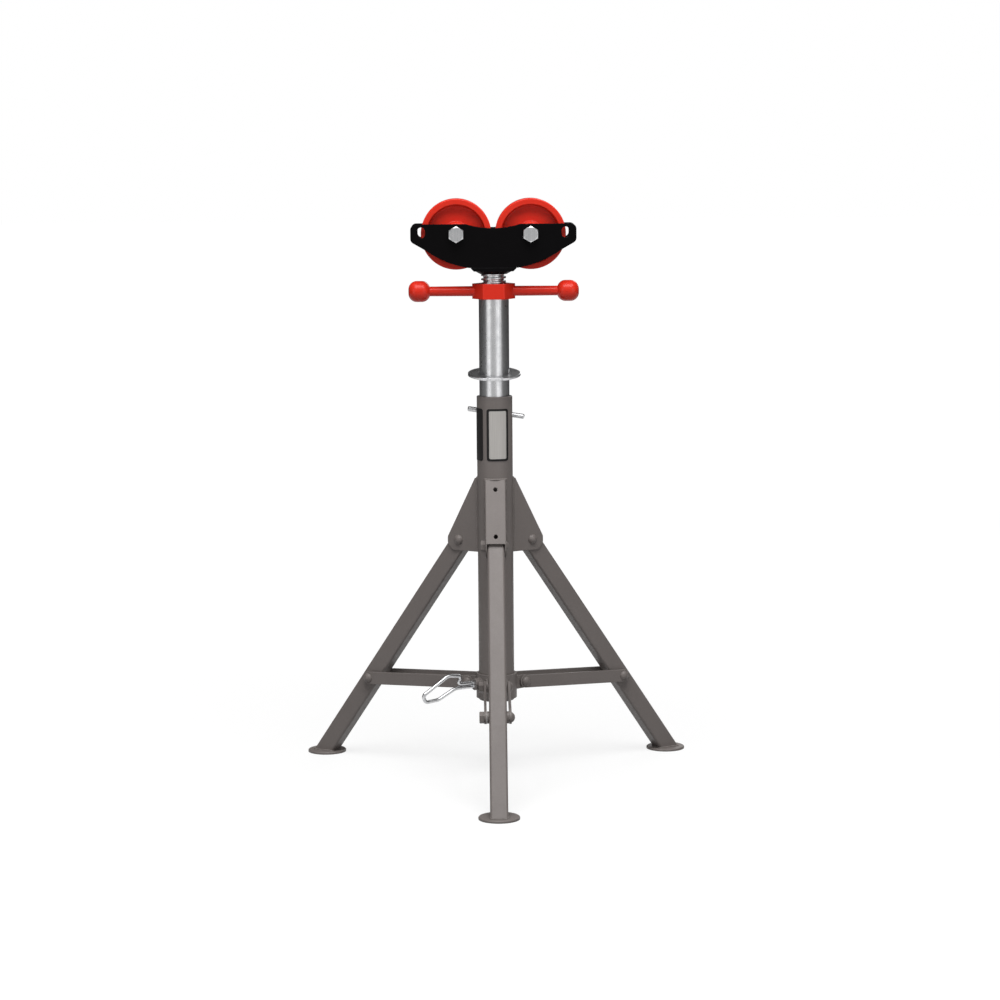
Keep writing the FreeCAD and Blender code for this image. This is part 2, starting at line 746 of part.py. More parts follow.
def make_axles():
    bolts = []
    nuts = []
    washers = []
    for side in (-1, 1):
        x = side * axle_x
        head_face = Vector(x, -plate_outer, axle_z)
        shank_length = 2 * plate_outer + axle_nut_height + axle_tail
        shank = cylinder(axle_radius, shank_length, head_face, along_y)
        head = hex_head(axle_flats, axle_head_height, head_face, along_y * -1, along_z)
        bolts.append(shank.fuse(head).removeSplitter())
        nut_face = Vector(x, plate_outer, axle_z)
        nut = hex_head(axle_flats, axle_nut_height, nut_face, along_y, along_z)
        nuts.append(nut.cut(cylinder(axle_radius, axle_nut_height, nut_face, along_y)))
        for face in (-plate_inner, plate_inner - washer_thickness):
            washers.append(tube(washer_diameter / 2, axle_radius + bolt_hole_clearance,
                                washer_thickness, Vector(x, face, axle_z), along_y))
    save("axle_bolts", *bolts)
    save("axle_nuts", *nuts)
    save("roller_washers", *washers)


def make_roller(name, x):
    """Wheel with rim, web and hub, turned about its axle, and its bush."""
    bush_bore = axle_radius + pivot_clearance
    hub_bore = bush_bore + bush_wall
    hub = roller_hub_diameter / 2
    rim_inner = roller_radius - roller_rim
    profile = [(hub_bore, roller_hub_width / 2, 0),
               (hub, roller_hub_width / 2, roller_lip_round), (hub, roller_web / 2, roller_web_round),
               (rim_inner, roller_web / 2, roller_web_round),
               (rim_inner, roller_width / 2, roller_lip_round),
               (roller_radius, roller_width / 2, roller_rim_round)]
    lower = [(radius, -half, bend) for radius, half, bend in reversed(profile)]
    corners = [(Vector(radius, half, 0), bend) for radius, half, bend in profile + lower]
    wheel = Part.Face(Part.Wire(rounded_edges(corners))).revolve(origin, along_y, 360)
    wheel.translate(Vector(x, 0, axle_z))
    save(name + "_roller", wheel)
    half = roller_hub_width / 2
    bush_from = Vector(x, -half, axle_z)
    save(name + "_roller_bush", tube(hub_bore, bush_bore, roller_hub_width, bush_from, along_y))


os.makedirs("parts", exist_ok=True)
make_mast()
for leg_name, leg_azimuth in leg_azimuths.items():
    make_leg_group(leg_name, leg_azimuth, head_sides[leg_name])
make_hinge_bolts()
save("collar_sleeve", make_collar())
make_lock()
make_clamp()
make_labels()
make_telescope()
make_handle_nut()
make_screw_and_neck()
save("front_head_plate", make_head_plate(-plate_outer))
save("back_head_plate", make_head_plate(plate_inner))
make_axles()
make_roller("left", -axle_x)
make_roller("right", axle_x)
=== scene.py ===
import bpy
import json
import math
from mathutils import Matrix, Vector


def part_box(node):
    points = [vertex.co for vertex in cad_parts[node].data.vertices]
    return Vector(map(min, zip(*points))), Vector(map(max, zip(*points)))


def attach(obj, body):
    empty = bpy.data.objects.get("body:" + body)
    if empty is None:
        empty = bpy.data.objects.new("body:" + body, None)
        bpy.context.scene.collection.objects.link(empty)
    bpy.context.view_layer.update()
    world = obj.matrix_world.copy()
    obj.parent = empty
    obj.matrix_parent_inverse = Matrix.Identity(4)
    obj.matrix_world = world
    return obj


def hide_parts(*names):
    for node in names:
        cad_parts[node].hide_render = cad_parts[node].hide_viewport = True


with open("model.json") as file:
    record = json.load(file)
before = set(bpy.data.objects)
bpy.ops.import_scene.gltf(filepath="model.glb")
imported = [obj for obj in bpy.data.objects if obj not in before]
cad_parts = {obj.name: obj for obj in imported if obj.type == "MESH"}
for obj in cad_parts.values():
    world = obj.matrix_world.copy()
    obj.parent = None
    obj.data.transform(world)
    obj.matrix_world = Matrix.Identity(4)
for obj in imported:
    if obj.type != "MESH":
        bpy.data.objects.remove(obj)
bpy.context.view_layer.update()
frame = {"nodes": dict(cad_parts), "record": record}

# Folding pipe jack stand.  Metres, in the frame of the solids: the origin is on the floor on the
# mast axis, +Z up, the front leg points to -Y.

mm = 0.001
nodes = frame["nodes"]
leg_azimuths = {"front": -90.0, "left": 150.0, "right": 30.0}

# Sizes of the solids that the modelled pieces meet
mast_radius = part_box("mast_tube")[1].x
bracket_low, bracket_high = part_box("front_leg_bracket")
collar_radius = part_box("collar_sleeve")[1].x
lugs_low, lugs_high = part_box("front_collar_lugs")
base_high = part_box("head_base_plate")[1]
head_plate_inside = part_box("back_head_plate")[0].y
foot_circle_radius = 347.0 * mm
foot_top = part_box("front_foot")[1].z
leg_print_half_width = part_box("front_leg_tube")[1].x
leg_print_half_length, leg_corner = 19.1 * mm, 4.5 * mm
lock_boss_radius, lock_azimuth, lock_height = 10.1 * mm, 210.0, 155.8 * mm
clamp_boss_radius, clamp_azimuth, clamp_height = 13.0 * mm, 90.0, 612.0 * mm

# Border printed on the front label plate, and half the width over which its inner edge fades
front_label_azimuth = -80.0
label_half_width = 18.3 * mm
label_border = 3.6 * mm
label_inner_round = 2.4 * mm
print_fade = 0.15 * mm

# Threads: pitch, depth, flank angle, and the crest's share of the pitch
lift_thread = (7.0 * mm, 3.6 * mm, 15.0, 0.366)
clamp_thread = (1.75 * mm, 1.0 * mm, 30.0, 0.14)

# Helix of a thread before its ends are cut: turns that it starts below the screw, turns added to
# the screw's length, steps of a turn, and the gap that is closed between neighbouring turns
turns_below, turns_added = 1.5, 4
steps_of_turn = 48
turn_gap = 0.005 * mm

# Weld beads: their radius, how far their middle stands off the corner they fill and stops short of
# its end, the length of a ripple, and how far the bead draws in between ripples
mast_bead, collar_bead, foot_bead, head_bead = 2.0 * mm, 1.5 * mm, 1.7 * mm, 1.4 * mm
bead_lift = 0.4 * mm
bead_stop = 1.0 * mm
ripple_length = 1.7 * mm
ripple_waist = 0.8

# Fineness of the beads: sides of their section, the gap that is closed between ripples, steps round
# a boss, across a bracket and round a corner of a leg, and degrees that a foot's weld laps its start
bead_sides = 10
ripple_gap = 0.02 * mm
boss_steps, bracket_steps, corner_steps = 32, 12, 4
foot_weld_lap = 10.0

# Edges of the modelled pieces under this angle are shaded smooth
smooth_angle = 40.0

# Camera: a long lens a little above the stand, a touch to the left of it
camera_place = (-0.0362, -4.8325, 1.0932)
camera_pitch_down = 7.358
camera_turn = -0.525
camera_roll = -0.42
camera_lens = 103.32
sensor_width = 36.0

# Softboxes as (centre, size, power in watts), and the point that they face
softboxes = {
    "overhead_softbox": ((0.0, -1.1, 3.2), (2.6, 2.0), 108.0),
    "left_softbox": ((-1.75, -1.95, 0.95), (1.5, 1.8), 8.8),
    "right_softbox": ((1.55, -2.15, 0.95), (1.9, 1.8), 11.2),
    "back_softbox": ((0.9, 2.5, 1.6), (1.2, 1.6), 14.0),
}
light_aim = Vector((0.0, 0.0, 0.5))

# White room: how bright it looks, and how much it lights the stand
room_white, room_light = 1.0, 0.1

# White floor: its glow at the stand and far off, the distance where the far glow is reached
floor_glow, far_floor_glow, far_floor = 0.79, 1.0, 4.0
floor_half_width = 30.0

# Dark walls: their light towards the camera and elsewhere, and where along Y the one fades into the
# other, as shares of the radius
wall_radius, wall_height, wall_sides = 3.2, 3.4, 96
wall_front_light, wall_back_light = 0.5, 0.04
wall_fade_begin, wall_fade_end = -0.95, -0.5

# Rounded edges: samples, and the cosines between rounded and face normals where an edge begins and
# is full
bevel_samples = 6
edge_begins, edge_full = 0.99, 0.88

# Sockets of a mix node that go by number: two values, two colours, and the mixed colour
value_a, value_b, colour_a, colour_b, mixed_colour = 2, 3, 6, 7, 2


# Shared helpers


def linear(hex_colour, alpha=1.0):
    """An sRGB hex colour as the linear colour that a shader takes."""
    channels = [int(hex_colour[i:i + 2], 16) / 255 for i in (1, 3, 5)]
    return [c / 12.92 if c <= 0.04045 else ((c + 0.055) / 1.055) ** 2.4
            for c in channels] + [alpha]


def add_node(tree, kind, inputs=None, out=0, **settings):
    """Add a node with its settings, its fixed inputs and its links, and give one of its outputs."""
    item = tree.nodes.new(kind)
    for name, value in settings.items():
        setattr(item, name, value)
    for socket, value in (inputs or {}).items():
        if isinstance(value, bpy.types.NodeSocket):
            tree.links.new(value, item.inputs[socket])
        else:
            item.inputs[socket].default_value = value
    return item.outputs[out]


def new_material(name):
    """A material with its node tree, its shader and the object coordinates for its patterns."""
    material = bpy.data.materials.new(name)
    material.use_nodes = True
    tree = material.node_tree
    place = add_node(tree, "ShaderNodeTexCoord", out="Object")
    return material, tree, tree.nodes["Principled BSDF"], place


def per_metre(millimetres):
    """Texture scale for a pattern whose features are that many millimetres wide."""
    return 1000.0 / millimetres


def drawn_lines(tree, place, across, along):
    """Fine lines along Z from drawing or brushing, their width and length in millimetres."""
    scale = (per_metre(across), per_metre(across), per_metre(along))
    stretch = add_node(tree, "ShaderNodeMapping", {"Vector": place, "Scale": scale})
    return add_node(tree, "ShaderNodeTexNoise",
                    {"Vector": stretch, "Scale": 1.0, "Detail": 4.0, "Roughness": 0.6}, "Fac")


def soft_edges(tree, radius):
    """Normals rounded over the edges, and a mask that is 1 on an edge and 0 on flat faces."""
    rounded = add_node(tree, "ShaderNodeBevel", {"Radius": radius}, samples=bevel_samples)
    face = add_node(tree, "ShaderNodeNewGeometry", out="Normal")
    facing = add_node(tree, "ShaderNodeVectorMath", {0: rounded, 1: face}, "Value",
                      operation="DOT_PRODUCT")
    edge = add_node(tree, "ShaderNodeMapRange",
                    {"Value": facing, "From Min": edge_begins, "From Max": edge_full})
    return rounded, edge


def coat_shader(tree, shader, colour, roughness, relief, rounded, depth, strength):
    """Colour, roughness and relief on a shader, with the rounded normals under the relief."""
    tree.links.new(colour, shader.inputs["Base Color"])
    tree.links.new(roughness, shader.inputs["Roughness"])
    bump = add_node(tree, "ShaderNodeBump", {"Height": relief, "Strength": strength,
                                             "Distance": depth, "Normal": rounded})
    tree.links.new(bump, shader.inputs["Normal"])


def pick_out(target):
    """Deselect everything but one object and make it active."""
    bpy.ops.object.select_all(action="DESELECT")
    target.select_set(True)
    bpy.context.view_layer.objects.active = target


def apply_modifier(piece, kind, **settings):
    """Add a modifier with its settings and apply it."""
    pick_out(piece)
    bpy.ops.object.modifier_add(type=kind)
    modifier = piece.modifiers[-1]
    for name, value in settings.items():
        setattr(modifier, name, value)
    bpy.ops.object.modifier_apply(modifier=modifier.name)


# Materials


def grey_powder_coat():
    """Grey powder coat on steel: satin, faint orange peel, paler along the edges as rubbed paint and
    a painted edge highlight.
    """
    material, tree, shader, place = new_material("grey_powder_coat")
    cloud = add_node(tree, "ShaderNodeTexNoise",
                     {"Vector": place, "Scale": per_metre(70), "Detail": 4.0, "Roughness": 0.6},
                     "Fac")
    patch = add_node(tree, "ShaderNodeTexNoise",
                     {"Vector": place, "Scale": per_metre(9), "Detail": 5.0, "Roughness": 0.65},
                     "Fac")
    # Orange peel is about 0.6 mm across on the real coat; it is drawn coarser so that it shows
    peel = add_node(tree, "ShaderNodeTexNoise",
                    {"Vector": place, "Scale": per_metre(1.8), "Detail": 1.0, "Roughness": 0.4},
                    "Fac")
    speck = add_node(tree, "ShaderNodeTexNoise",
                     {"Vector": place, "Scale": per_metre(2.6), "Detail": 2.0, "Roughness": 0.7},
                     "Fac")
    speck = add_node(tree, "ShaderNodeMapRange",
                     {"Value": speck, "From Min": 0.3, "From Max": 0.7,
                      "To Min": 0.96, "To Max": 1.04})
    paint = add_node(tree, "ShaderNodeMix",
                     {"Factor": cloud, colour_a: linear("#726b68"), colour_b: linear("#7c7572")},
                     mixed_colour, data_type="RGBA")
    paint = add_node(tree, "ShaderNodeVectorMath", {0: paint, "Scale": speck}, operation="SCALE")
    rounded, edge = soft_edges(tree, 1.4 * mm)
    # Paler colour along the edges, in patches: partly rubbed paint, partly a painted edge highlight
    edge_rub_and_highlight = add_node(tree, "ShaderNodeMapRange",
                   {"Value": patch, "From Min": 0.42, "From Max": 0.62,
                    "To Min": 0.0, "To Max": 0.5})
    edge_rub_and_highlight = add_node(tree, "ShaderNodeMath", {0: edge, 1: edge_rub_and_highlight}, operation="MULTIPLY")
    colour = add_node(tree, "ShaderNodeMix",
                      {"Factor": edge_rub_and_highlight, colour_a: paint, colour_b: linear("#a9a5a1")},
                      mixed_colour, data_type="RGBA")
    gloss = add_node(tree, "ShaderNodeMapRange",
                     {"Value": patch, "From Min": 0.25, "From Max": 0.75,
                      "To Min": 0.4, "To Max": 0.54})
    coat_shader(tree, shader, colour, gloss, peel, rounded, depth=0.2 * mm, strength=0.1)
    shader.inputs["Specular IOR Level"].default_value = 0.4
    return material


def zinc_plate():
    """Zinc plate on drawn steel: bright, drawn lines along the tube, cloudy passivation."""
    material, tree, shader, place = new_material("zinc_plate")
    # Lines from drawing are a tenth of a millimetre wide; they are drawn coarser so that they show
    lines = drawn_lines(tree, place, across=2.2, along=160)
    cloud = add_node(tree, "ShaderNodeTexNoise",
                     {"Vector": place, "Scale": per_metre(11), "Detail": 6.0, "Roughness": 0.7},
                     "Fac")
    spangle = add_node(tree, "ShaderNodeTexNoise",
                       {"Vector": place, "Scale": per_metre(2.4), "Detail": 3.0, "Roughness": 0.6},
                       "Fac")
    plating = add_node(tree, "ShaderNodeMix", {"Factor": 0.5, value_a: lines, value_b: cloud})
    plating = add_node(tree, "ShaderNodeMix", {"Factor": 0.15, value_a: plating, value_b: spangle})
    tone = add_node(tree, "ShaderNodeMapRange",
                    {"Value": plating, "From Min": 0.38, "From Max": 0.62})
    colour = add_node(tree, "ShaderNodeMix",
                      {"Factor": tone, colour_a: linear("#b8b9bb"), colour_b: linear("#dcdcdd")},
                      mixed_colour, data_type="RGBA")
    gloss = add_node(tree, "ShaderNodeMapRange",
                     {"Value": plating, "From Min": 0.32, "From Max": 0.68,
                      "To Min": 0.36, "To Max": 0.24})
    rounded, _ = soft_edges(tree, 0.8 * mm)
    coat_shader(tree, shader, colour, gloss, plating, rounded, depth=0.25 * mm, strength=0.12)
    shader.inputs["Metallic"].default_value = 1.0
    return material


def black_powder_coat():
    """Black powder coat on plate: deep, semi-matt, thin grey along the cut edges, a painted edge
    highlight with some rubbed coat.
    """
    material, tree, shader, place = new_material("black_powder_coat")
    patch = add_node(tree, "ShaderNodeTexNoise",
                     {"Vector": place, "Scale": per_metre(8), "Detail": 5.0, "Roughness": 0.65},
                     "Fac")
    # Orange peel is about 0.6 mm across on the real coat; it is drawn coarser so that it shows
    peel = add_node(tree, "ShaderNodeTexNoise",
                    {"Vector": place, "Scale": per_metre(1.8), "Detail": 1.0, "Roughness": 0.4},
                    "Fac")
    rounded, edge = soft_edges(tree, 1.3 * mm)
    # Grey along the cut edges, in patches: a painted edge highlight, partly rubbed coat
    edge_rub_and_highlight = add_node(tree, "ShaderNodeMapRange",
                   {"Value": patch, "From Min": 0.35, "From Max": 0.75,
                    "To Min": 0.0, "To Max": 0.5})
    edge_rub_and_highlight = add_node(tree, "ShaderNodeMath", {0: edge, 1: edge_rub_and_highlight}, operation="MULTIPLY")
    colour = add_node(tree, "ShaderNodeMix",
                      {"Factor": edge_rub_and_highlight, colour_a: linear("#060506"), colour_b: linear("#343436")},
                      mixed_colour, data_type="RGBA")
    gloss = add_node(tree, "ShaderNodeMapRange",
                     {"Value": patch, "From Min": 0.3, "From Max": 0.7,
                      "To Min": 0.42, "To Max": 0.58})
    coat_shader(tree, shader, colour, gloss, peel, rounded, depth=0.2 * mm, strength=0.12)
    shader.inputs["Specular IOR Level"].default_value = 0.05
    return material


def red_enamel():
    """Red gloss enamel over cast iron: saturated, soft casting texture under a glossy skin."""
    material, tree, shader, place = new_material("red_enamel")
    cloud = add_node(tree, "ShaderNodeTexNoise",
                     {"Vector": place, "Scale": per_metre(22), "Detail": 4.0, "Roughness": 0.6},
                     "Fac")
    colour = add_node(tree, "ShaderNodeMix",
                      {"Factor": cloud, colour_a: linear("#dc2a18"), colour_b: linear("#e43422")},
                      mixed_colour, data_type="RGBA")
    grain = add_node(tree, "ShaderNodeTexNoise",
                     {"Vector": place, "Scale": per_metre(3.5), "Detail": 3.0, "Roughness": 0.55},
                     "Fac")
    gloss = add_node(tree, "ShaderNodeMapRange",
                     {"Value": grain, "From Min": 0.3, "From Max": 0.7,
                      "To Min": 0.26, "To Max": 0.38})
    rounded, _ = soft_edges(tree, 1.2 * mm)
    coat_shader(tree, shader, colour, gloss, grain, rounded, depth=0.35 * mm, strength=0.16)
    shader.inputs["Specular IOR Level"].default_value = 0.2
    shader.inputs["Coat Weight"].default_value = 0.1
    shader.inputs["Coat Roughness"].default_value = 0.12
    return material


def bearing_bronze():
    """Plain bearing bronze: turned, warm yellow-brown metal, dull with oil."""
    material, tree, shader, place = new_material("bronze")
    cloud = add_node(tree, "ShaderNodeTexNoise",
                     {"Vector": place, "Scale": per_metre(4), "Detail": 4.0, "Roughness": 0.6},
                     "Fac")
    colour = add_node(tree, "ShaderNodeMix",
                      {"Factor": cloud, colour_a: linear("#8a6a3a"), colour_b: linear("#b48c50")},
                      mixed_colour, data_type="RGBA")
    gloss = add_node(tree, "ShaderNodeMapRange", {"Value": cloud, "To Min": 0.32, "To Max": 0.5})
    rounded, _ = soft_edges(tree, 0.5 * mm)
    coat_shader(tree, shader, colour, gloss, cloud, rounded, depth=0.1 * mm, strength=0.1)
    shader.inputs["Metallic"].default_value = 1.0
    return material


def label_face():
    """Anodised aluminium plate, bare, with a black border printed round it."""
    material, tree, shader, place = new_material("label_plate")
    low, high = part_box("front_label_plate")
    turned = add_node(tree, "ShaderNodeMapping",
                      {"Vector": place, "Rotation": (0.0, 0.0, -math.radians(front_label_azimuth))})
    across = add_node(tree, "ShaderNodeSeparateXYZ", {"Vector": turned}, "Y")
    height = add_node(tree, "ShaderNodeSeparateXYZ", {"Vector": turned}, "Z")
    up = add_node(tree, "ShaderNodeMath", {0: height, 1: (low.z + high.z) / 2},
                  operation="SUBTRACT")
    past_edge = []
    for offset, half in ((across, label_half_width), (up, (high.z - low.z) / 2)):
        far = add_node(tree, "ShaderNodeMath", {0: offset}, operation="ABSOLUTE")
        past = add_node(tree, "ShaderNodeMath",
                        {0: far, 1: half - label_border - label_inner_round}, operation="SUBTRACT")
        past_edge.append(add_node(tree, "ShaderNodeMath", {0: past, 1: 0.0}, operation="MAXIMUM"))
    corner = add_node(tree, "ShaderNodeCombineXYZ", {"X": past_edge[0], "Y": past_edge[1]})
    reach = add_node(tree, "ShaderNodeVectorMath", {0: corner}, "Value", operation="LENGTH")
    border = add_node(tree, "ShaderNodeMapRange",
                      {"Value": reach, "From Min": label_inner_round - print_fade,
                       "From Max": label_inner_round + print_fade})
    # Brushing is finer than this on a real plate; it is drawn coarser so that it shows
    brush = drawn_lines(tree, place, across=1.6, along=60)
    silver = add_node(tree, "ShaderNodeMix",
                      {"Factor": brush, colour_a: linear("#aeaaa6"), colour_b: linear("#cfccc8")},
                      mixed_colour, data_type="RGBA")
    colour = add_node(tree, "ShaderNodeMix",
                      {"Factor": border, colour_a: silver, colour_b: linear("#0a0909")},
                      mixed_colour, data_type="RGBA")
    gloss = add_node(tree, "ShaderNodeMapRange", {"Value": brush, "To Min": 0.35, "To Max": 0.5})
    rounded, _ = soft_edges(tree, 0.4 * mm)
    coat_shader(tree, shader, colour, gloss, brush, rounded, depth=0.05 * mm, strength=0.1)
    shader.inputs["Specular IOR Level"].default_value = 0.25
    return material


def label_film():
    """Plain dark vinyl film, slightly glossy, with a dusty bloom."""
    material, tree, shader, place = new_material("label_film")
    cloud = add_node(tree, "ShaderNodeTexNoise",
                     {"Vector": place, "Scale": per_metre(12), "Detail": 4.0, "Roughness": 0.6},
                     "Fac")
    colour = add_node(tree, "ShaderNodeMix",
                      {"Factor": cloud, colour_a: linear("#111011"), colour_b: linear("#1f1d1d")},
                      mixed_colour, data_type="RGBA")
    gloss = add_node(tree, "ShaderNodeMapRange", {"Value": cloud, "To Min": 0.3, "To Max": 0.45})
    rounded, _ = soft_edges(tree, 0.4 * mm)
    coat_shader(tree, shader, colour, gloss, cloud, rounded, depth=0.05 * mm, strength=0.1)
    shader.inputs["Specular IOR Level"].default_value = 0.3
    return material


finishes = {
    "grey_powder_coat": grey_powder_coat(),
    "zinc_plate": zinc_plate(),
    "black_powder_coat": black_powder_coat(),
    "red_enamel": red_enamel(),
    "bronze": bearing_bronze(),
    "label_plate": label_face(),
    "label_film": label_film(),
}


def dress(piece, slot):
    """Give a piece the finish of a slot and no other."""
    piece.data.materials.clear()
    piece.data.materials.append(finishes[slot])


for subpart in frame["record"]["subparts"]:
    dress(nodes[subpart["node"]], subpart["material_slot"])


# Modelled pieces: cut threads and weld beads


def begin(operator, **settings):
    """A primitive to start from, the only selected object."""
    bpy.ops.object.select_all(action="DESELECT")
    operator(location=(0, 0, 0), **settings)
    return bpy.context.active_object


def draw_line(points):
    """Edges through a row of points, begun from a small plane drawn together to one vertex."""
    line = begin(bpy.ops.mesh.primitive_plane_add, size=mm)
    bpy.ops.object.mode_set(mode="EDIT")
    bpy.ops.mesh.select_all(action="SELECT")
    bpy.ops.mesh.merge(type="CENTER")
    bpy.ops.transform.translate(value=points[0])
    for here, there in zip(points, points[1:]):
        step = Vector(there) - Vector(here)
        bpy.ops.mesh.extrude_region_move(TRANSFORM_OT_translate={"value": step})
    bpy.ops.object.mode_set(mode="OBJECT")
    return line


def close_up(piece):
    """Fill the open ends and turn all faces outwards."""
    pick_out(piece)
    bpy.ops.object.mode_set(mode="EDIT")
    bpy.ops.mesh.select_all(action="SELECT")
    bpy.ops.mesh.fill_holes(sides=0)
    bpy.ops.mesh.select_all(action="SELECT")
    bpy.ops.mesh.normals_make_consistent(inside=False)
    bpy.ops.object.mode_set(mode="OBJECT")


def put_in_place(piece, name, body, slot):
    """Name, shade and dress a modelled piece, and let it ride on its body."""
    pick_out(piece)
    piece.name = name
    piece.data.name = name
    bpy.ops.object.shade_smooth_by_angle(angle=math.radians(smooth_angle))
    dress(piece, slot)
    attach(piece, body)


def cut_thread(radius, pitch, depth, flank_angle, crest_share, low, high):
    """Right-handed thread on the Z axis: one tooth swept up a helix, cut flat at both ends."""
    flank = depth * math.tan(math.radians(flank_angle))
    crest = crest_share * pitch
    root = (pitch - crest) / 2 - flank
    start = low - turns_below * pitch
    tooth = ((radius - depth, 0.0), (radius - depth, root), (radius, root + flank),
             (radius, root + flank + crest), (radius - depth, pitch - root),
             (radius - depth, pitch))
    thread = draw_line([(out, 0.0, start + up) for out, up in tooth])
    turns = math.ceil((high - low) / pitch) + turns_added
    apply_modifier(thread, "SCREW", screw_offset=pitch, iterations=turns,
                   steps=steps_of_turn, render_steps=steps_of_turn)
    bpy.ops.object.mode_set(mode="EDIT")
    bpy.ops.mesh.select_all(action="SELECT")
    bpy.ops.mesh.remove_doubles(threshold=turn_gap)
    for height, side in ((low, -1), (high, 1)):
        bpy.ops.mesh.select_all(action="SELECT")
        bpy.ops.mesh.bisect(plane_co=(0, 0, height), plane_no=(0, 0, side),
                            use_fill=True, clear_outer=True)
    bpy.ops.object.mode_set(mode="OBJECT")
    close_up(thread)
    return thread


def lay_bead(points, radius):
    """Rippled weld bead along a row of points."""
    draw_line(points)
    bpy.ops.object.convert(target="CURVE")
    path = bpy.context.active_object
    bead = begin(bpy.ops.mesh.primitive_circle_add, vertices=bead_sides, radius=radius)
    bpy.ops.object.mode_set(mode="EDIT")
    bpy.ops.mesh.select_all(action="SELECT")
    for share, swell in ((0.5, ripple_waist), (1.0, 1 / ripple_waist)):
        bpy.ops.mesh.extrude_region_move(
            TRANSFORM_OT_translate={"value": (0, 0, ripple_length / 2)})
        bpy.ops.transform.resize(value=(swell, swell, 1),
                                 center_override=(0, 0, share * ripple_length))
    bpy.ops.object.mode_set(mode="OBJECT")
    apply_modifier(bead, "ARRAY", fit_type="FIT_CURVE", curve=path,
                   relative_offset_displace=(0, 0, 1),
                   use_merge_vertices=True, merge_threshold=ripple_gap)
    apply_modifier(bead, "CURVE", object=path, deform_axis="POS_Z")
    pick_out(path)
    bpy.ops.object.delete()
    close_up(bead)
    return bead


def joined(pieces):
    """Several pieces as one object."""
    bpy.ops.object.select_all(action="DESELECT")
    for piece in pieces:
        piece.select_set(True)
    bpy.context.view_layer.objects.active = pieces[0]
    bpy.ops.object.join()
    return bpy.context.active_object


def swing(piece, azimuth):
    """Turn a piece round the mast and leave it unturned in its new place."""
    pick_out(piece)
    piece.rotation_euler.z = math.radians(azimuth)
    bpy.ops.object.transform_apply(location=False, rotation=True, scale=False)
    return piece


def swung_copies(piece):
    """One copy of a piece for each leg, in the order of leg_azimuths."""
    copies = []
    for azimuth in leg_azimuths.values():
        pick_out(piece)
        bpy.ops.object.duplicate(linked=False)
        copies.append(swing(bpy.context.active_object, azimuth))
    pick_out(piece)
    bpy.ops.object.delete()
    return copies


def arc_points(count, first, last, place):
    """Points placed at equal steps between two angles in degrees."""
    angles = [math.radians(first + (last - first) * i / count) for i in range(count + 1)]
    return [place(angle) for angle in angles]


def boss_ring(boss_radius, round_radius, height, bead_radius):
    """Weld round a boss that stands out along +X from an upright tube."""
    ring_radius = boss_radius + bead_lift

    def on_ring(angle):
        across = ring_radius * math.cos(angle)
        out = math.sqrt(round_radius**2 - across**2)
        return out, across, height + ring_radius * math.sin(angle)

    return lay_bead(arc_points(boss_steps, 0, 360, on_ring), bead_radius)


def side_seams(round_radius, side, low, high, bead_radius):
    """Two upright welds where plates meet an upright tube."""
    out = math.sqrt(round_radius**2 - side**2) + bead_lift
    return [lay_bead([(out, across, low + bead_stop), (out, across, high - bead_stop)], bead_radius)
            for across in (side + bead_lift, -side - bead_lift)]


def make_mast_welds():
    """Welds down the sides and over the top of each bracket, and round the clamp's boss."""
    side, top = bracket_high.x, bracket_high.z
    seams = side_seams(mast_radius, side, bracket_low.z, top, mast_bead)

    def on_mast(angle):
        out = mast_radius + bead_lift
        return out * math.cos(angle), out * math.sin(angle), top + bead_lift

    reach = math.degrees(math.asin(side / mast_radius))
    seams.append(lay_bead(arc_points(bracket_steps, -reach, reach, on_mast), mast_bead))
    welds = swung_copies(joined(seams))
    clamp_ring = boss_ring(clamp_boss_radius, mast_radius, clamp_height, mast_bead)
    welds.append(swing(clamp_ring, clamp_azimuth))
    put_in_place(joined(welds), "mast_welds", "mast", "grey_powder_coat")


def make_collar_welds():
    """Welds down the sides of the hinge lugs, and round the locking pin's boss."""
    seams = side_seams(collar_radius, lugs_high.x, lugs_low.z, lugs_high.z, collar_bead)
    welds = swung_copies(joined(seams))
    lock_ring = boss_ring(lock_boss_radius, collar_radius, lock_height, collar_bead)
    welds.append(swing(lock_ring, lock_azimuth))
    put_in_place(joined(welds), "collar_welds", "collar", "grey_powder_coat")


def make_foot_welds():
    """A weld round each leg where it stands on its foot, lapped over its own start."""
    route = []
    corners = ((1, 1), (-1, 1), (-1, -1), (1, -1), (1, 1))
    for quarter, (along, across) in enumerate(corners):
        x = foot_circle_radius + along * (leg_print_half_length - leg_corner)
        y = across * (leg_print_half_width - leg_corner)

        def round_corner(angle, x=x, y=y):
            return (x + leg_corner * math.cos(angle), y + leg_corner * math.sin(angle),
                    foot_top + bead_lift)

        first = 90 * quarter
        turn = 90 if quarter < len(corners) - 1 else foot_weld_lap
        route += arc_points(corner_steps, first, first + turn, round_corner)
    for name, weld in zip(leg_azimuths, swung_copies(lay_bead(route, foot_bead))):
        put_in_place(weld, name + "_foot_weld", name + "_leg", "grey_powder_coat")


def make_head_welds():
    """Welds along the inside of both head plates, on the base plate."""
    height = base_high.z + bead_lift
    reach = base_high.x - bead_stop
    welds = []
    for across in (head_plate_inside - bead_lift, bead_lift - head_plate_inside):
        welds.append(lay_bead([(-reach, across, height), (reach, across, height)], head_bead))
    put_in_place(joined(welds), "head_welds", "head", "black_powder_coat")


